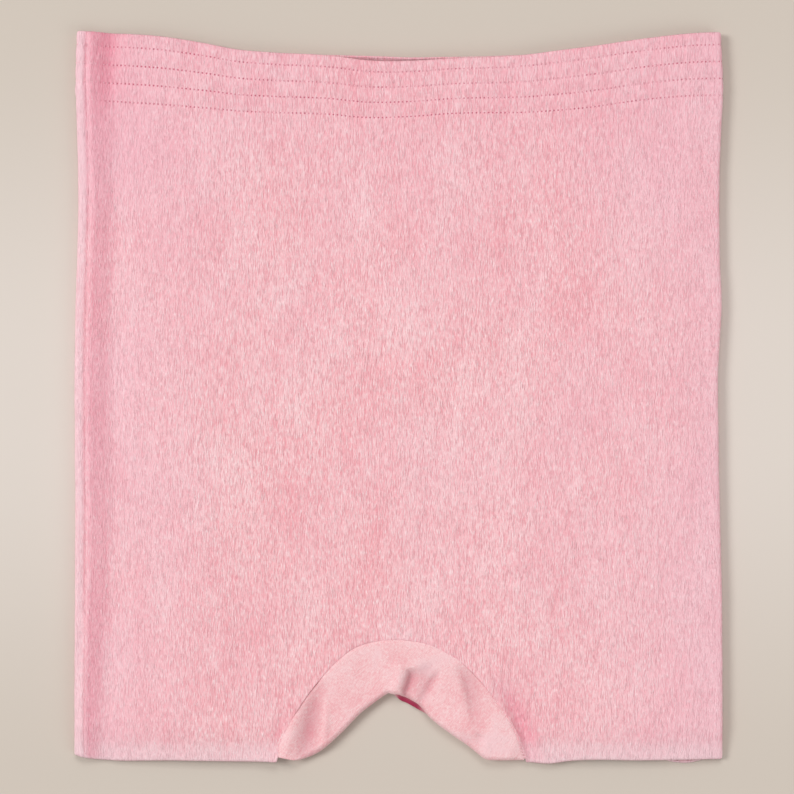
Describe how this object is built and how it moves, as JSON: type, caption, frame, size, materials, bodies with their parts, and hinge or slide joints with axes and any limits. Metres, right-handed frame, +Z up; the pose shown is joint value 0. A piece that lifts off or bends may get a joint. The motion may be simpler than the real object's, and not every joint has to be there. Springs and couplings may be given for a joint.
{
  "type": "pull-on patient shorts",
  "caption": "High-waisted pull-on shorts in crinkle knit with an elastic casing waist, short legs and a crotch gusset, laid flat.",
  "frame": {"origin": "middle of the laid garment's box, on the surface it lies on", "axes": "+X across the waist, +Y from the legs to the waist, +Z up through the laid layers, from back to front"},
  "size_m": [0.3406, 0.3856, 0.0094],
  "materials": {
    "crinkle_knit": "matt pink crinkle knit with fine lengthwise ridges",
    "gusset_knit": "smoother matt pink knit",
    "turned_knit": "matt pink knit, pressed flat",
    "elastic": "white braided elastic",
    "sewing_thread": "pink spun polyester thread, low sheen"
  },
  "bodies": {
    "root": {"front_panel": "crinkle_knit", "back_panel": "crinkle_knit", "gusset": "gusset_knit", "gusset_lining": "gusset_knit", "waist_stitch_row_1": "sewing_thread", "waist_stitch_row_2": "sewing_thread", "waist_stitch_row_3": "sewing_thread", "waist_stitch_row_4": "sewing_thread", "waist_elastic_1": "elastic", "waist_elastic_2": "elastic", "waist_elastic_3": "elastic", "waist_facing_front": "turned_knit", "waist_facing_back": "turned_knit", "left_leg_hem": "turned_knit", "right_leg_hem": "turned_knit", "left_leg_hem_thread": "sewing_thread", "right_leg_hem_thread": "sewing_thread", "side_seam_thread_left": "sewing_thread", "side_seam_thread_right": "sewing_thread", "gusset_seam_thread_front": "sewing_thread", "gusset_seam_thread_back": "sewing_thread"}
  },
  "joints": []
}
